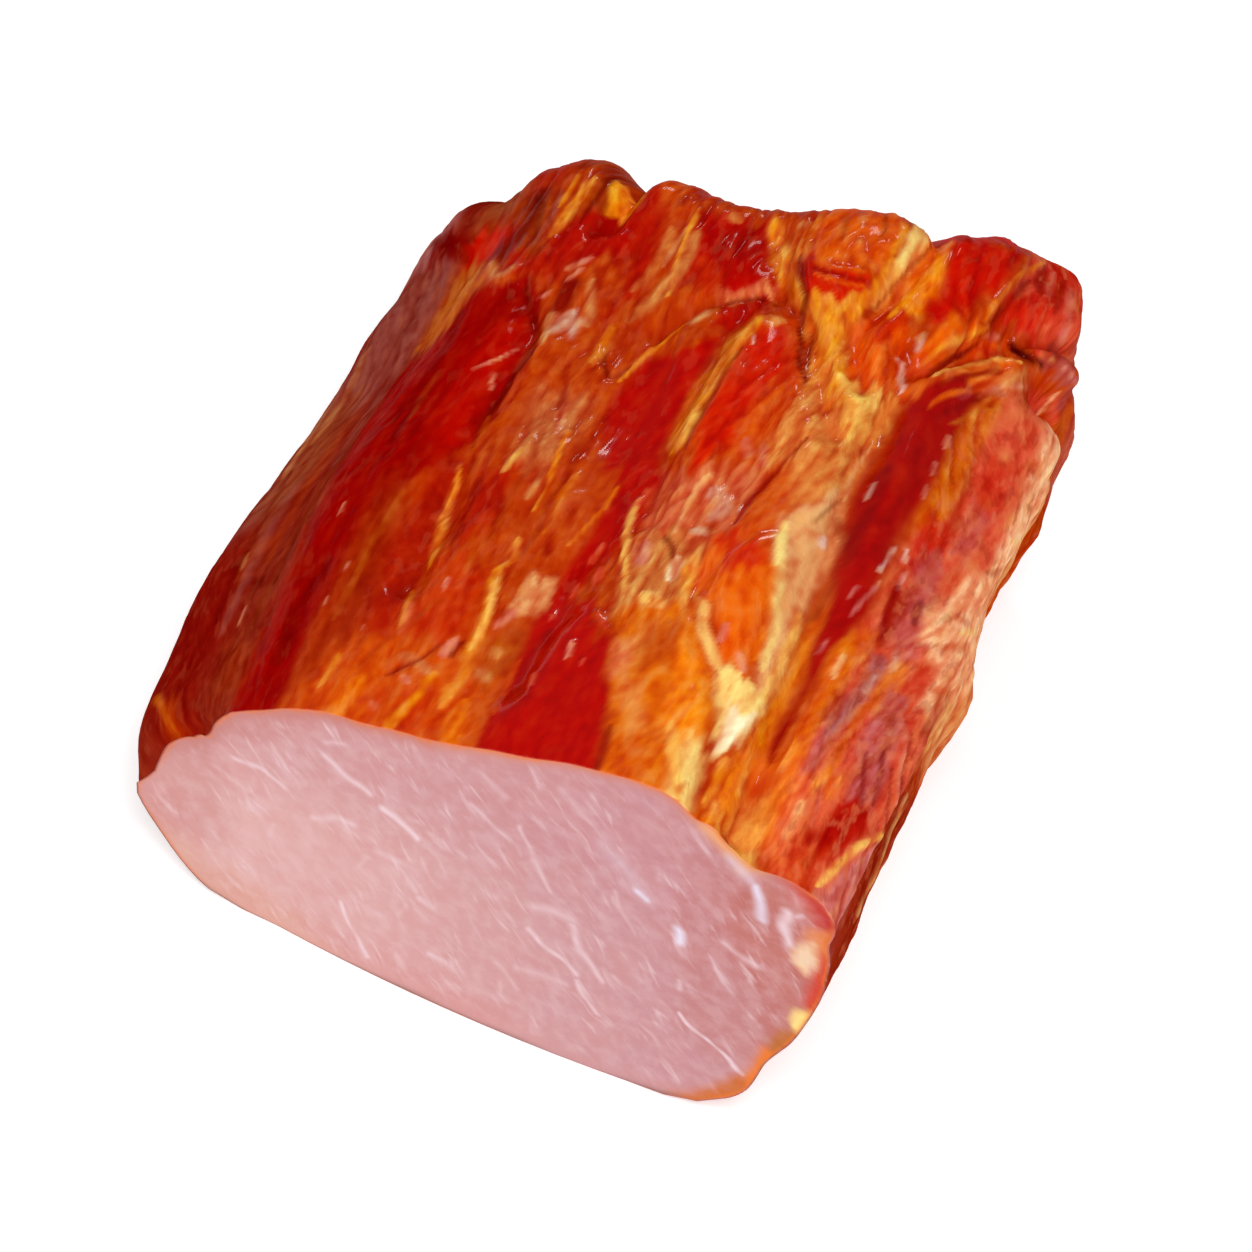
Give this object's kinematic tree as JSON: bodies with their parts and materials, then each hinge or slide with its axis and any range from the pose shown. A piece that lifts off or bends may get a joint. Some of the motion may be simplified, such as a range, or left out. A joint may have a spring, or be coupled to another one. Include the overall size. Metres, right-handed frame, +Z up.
{
  "type": "smoked pork loin",
  "caption": "Boneless smoked pork loin joint with browned, grooved crust, cut flat across the grain at one end.",
  "frame": {"origin": "middle of the underside's bounding rectangle, on the surface that the loin rests on", "axes": "+Z up, +Y along the muscle from the cut face to the crusted far end, +X to the thick side"},
  "size_m": [0.1254, 0.1394, 0.0733],
  "materials": {
    "smoked_crust": "glossy browned crust, pale pink marbled meat where it is cut"
  },
  "bodies": {
    "root": {"loin": "smoked_crust"}
  },
  "joints": []
}
